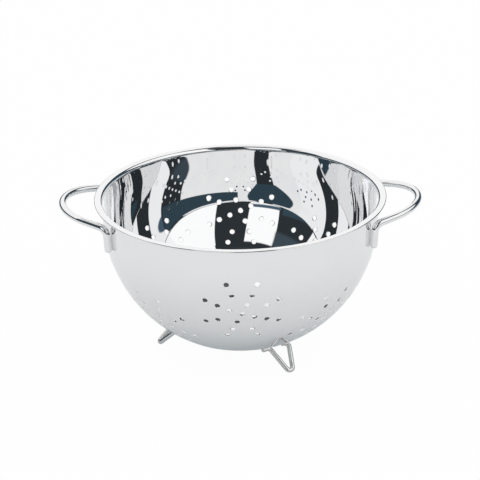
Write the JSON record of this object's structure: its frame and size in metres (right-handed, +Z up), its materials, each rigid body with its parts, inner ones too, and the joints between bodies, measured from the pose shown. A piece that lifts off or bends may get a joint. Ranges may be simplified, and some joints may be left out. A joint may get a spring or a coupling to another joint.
{
  "type": "colander",
  "caption": "Round stainless-steel colander: a perforated half-round bowl with a flat folded rim, a wire loop handle on each side and V-shaped wire feet.",
  "frame": {"origin": "on the floor under the middle of the bowl, at the height of the lowest points of the feet", "axes": "+Z up along the bowl's axis, +X along the line through the two handles, front towards -Y"},
  "size_m": [0.2988, 0.24, 0.1357],
  "materials": {
    "bowl_sheet": "mirror-polished stainless sheet",
    "handle_wire": "polished stainless wire",
    "foot_wire": "polished stainless wire"
  },
  "bodies": {
    "root": {"bowl": "bowl_sheet", "handle_left": "handle_wire", "handle_right": "handle_wire", "foot_front_right": "foot_wire", "foot_rear_right": "foot_wire", "foot_left": "foot_wire"}
  },
  "joints": []
}
